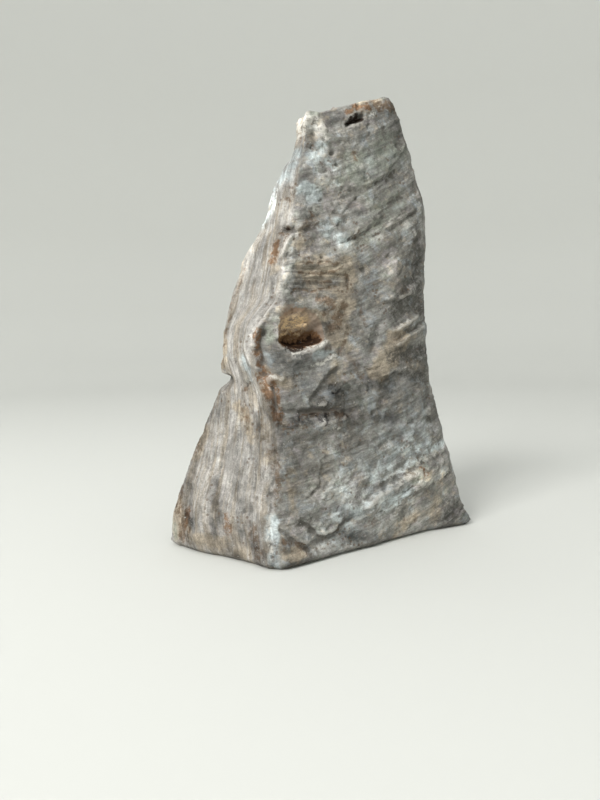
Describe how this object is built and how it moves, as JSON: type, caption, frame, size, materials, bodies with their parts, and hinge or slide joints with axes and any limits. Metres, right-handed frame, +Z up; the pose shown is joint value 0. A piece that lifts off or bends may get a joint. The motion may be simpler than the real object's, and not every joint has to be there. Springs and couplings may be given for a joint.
{
  "type": "soapstone block",
  "caption": "Raw upright block of layered soapstone for carving, tapering to a narrow top, with a niche in its cleaved front and a flat foot.",
  "frame": {"origin": "middle of the bounding box at the flat foot the block stands on", "axes": "+Z up, the cleaved front with the niche towards -Y, +X to the right as seen from the front"},
  "size_m": [0.1766, 0.1282, 0.2435],
  "materials": {
    "soapstone": "raw cleaved and chipped soapstone, grey with pinkish beige layers, rusty stains and pale scratches, matt"
  },
  "bodies": {
    "root": {"soapstone_block": "soapstone"}
  },
  "joints": []
}
